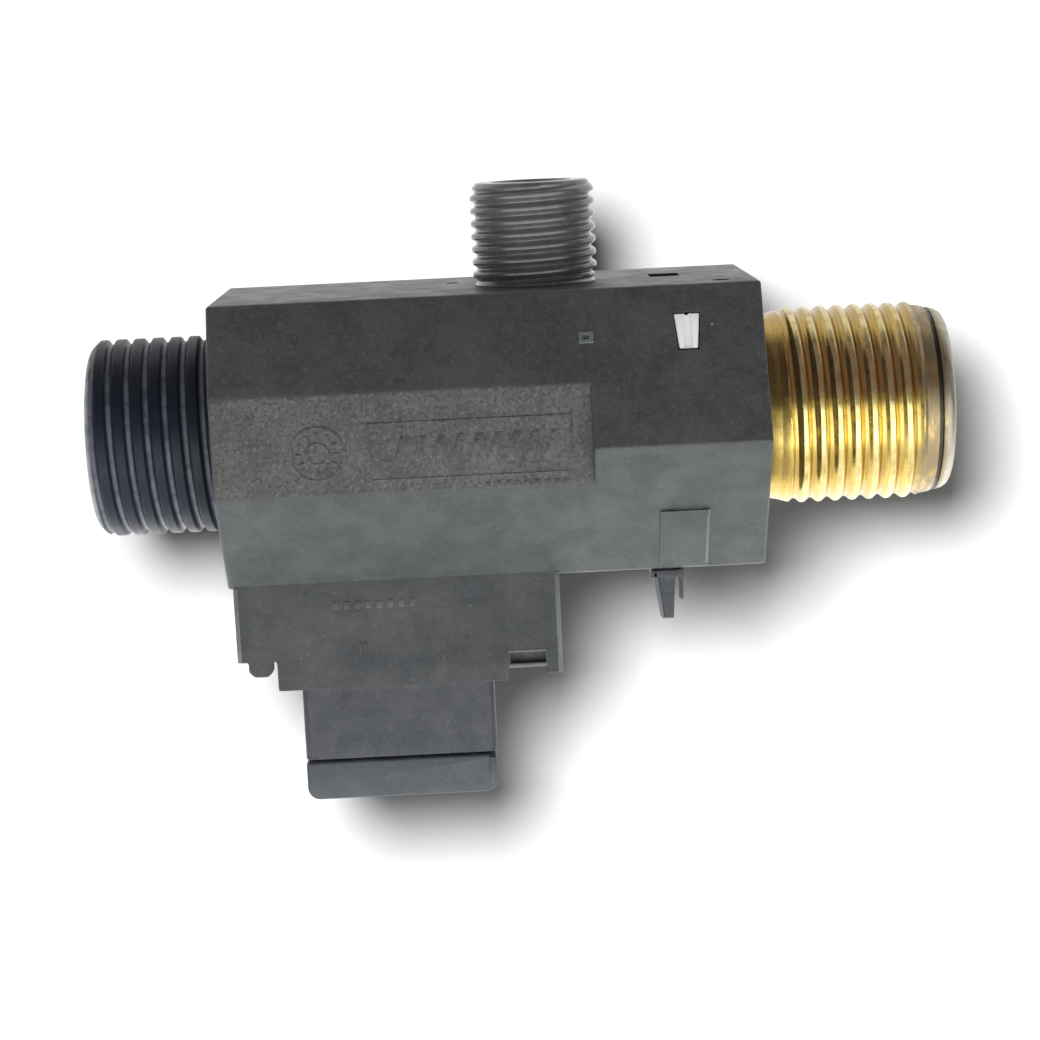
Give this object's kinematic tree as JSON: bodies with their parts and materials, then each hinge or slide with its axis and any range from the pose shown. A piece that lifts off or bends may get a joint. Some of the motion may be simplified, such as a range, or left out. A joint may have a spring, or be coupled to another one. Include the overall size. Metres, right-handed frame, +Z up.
{
  "type": "threaded solenoid valve",
  "caption": "Black plastic solenoid valve with an in-line plastic inlet thread, a brass outlet tail held by a fork, a branch port on top and a plug-in coil below.",
  "frame": {"origin": "centre of the inlet port's end face, on the axis of the two in-line ports", "axes": "+X from the inlet to the brass outlet along the flow, +Y to the back of the valve, +Z up along the branch port, away from the coil"},
  "size_m": [0.0905, 0.0406, 0.0644],
  "materials": {
    "body_black": "fine textured moulding",
    "coil_resin": "fine matt moulding",
    "cap_resin": "satin moulding",
    "brass": "machined, slightly tarnished",
    "acetal_white": "smooth moulding",
    "fork_white": "smooth moulding",
    "rubber_black": "greased rubber",
    "steel_zinc": "zinc plated",
    "screw_zinc": "bright zinc plated",
    "steel_stainless": "turned stainless steel",
    "steel_gauze": "woven wire",
    "copper_wire": "enamelled copper winding",
    "tin_plate": "tin plated blade"
  },
  "bodies": {
    "valve": {"valve_body": "body_black", "inlet_spigot": "body_black", "branch_spigot": "body_black", "wire_clip": "body_black", "valve_seat": "brass", "inlet_strainer_frame": "acetal_white", "inlet_strainer_mesh": "steel_gauze", "coil_bobbin": "acetal_white", "bonnet_o_ring": "rubber_black", "bonnet_plate": "steel_zinc", "flux_plate": "steel_zinc", "coil_yoke": "steel_zinc", "core_nut": "steel_zinc", "bonnet_screw_1": "screw_zinc", "bonnet_screw_2": "screw_zinc", "bonnet_screw_3": "screw_zinc", "bonnet_screw_4": "screw_zinc", "guide_tube": "steel_stainless", "plunger_spring": "steel_stainless", "fixed_core": "steel_stainless", "coil_winding": "copper_wire", "coil_case": "coil_resin", "terminal_cap": "cap_resin", "terminal_pin_1": "tin_plate", "terminal_pin_2": "tin_plate"},
    "armature": {"plunger": "steel_stainless", "seal_carrier": "acetal_white", "seal_disc": "rubber_black"},
    "outlet": {"outlet_tail": "brass", "outlet_o_ring_1": "rubber_black", "outlet_o_ring_2": "rubber_black"},
    "fork": {"locking_fork": "fork_white"}
  },
  "joints": [
    {"name": "armature_lift", "type": "slide", "parent": "valve", "child": "armature", "axis": [0, 0, -1], "range_m": [0, 0.0025], "stiffness_N_per_m": 200, "springref_m": -0.004, "deforming": ["plunger_spring"]},
    {"name": "outlet_swivel", "type": "hinge", "parent": "valve", "child": "outlet", "pos_m": [0.07015, 0, 0], "axis": [1, 0, 0], "continuous": true},
    {"name": "fork_pull", "type": "slide", "parent": "valve", "child": "fork", "axis": [0, 1, 0], "range_m": [0, 0.032]}
  ]
}
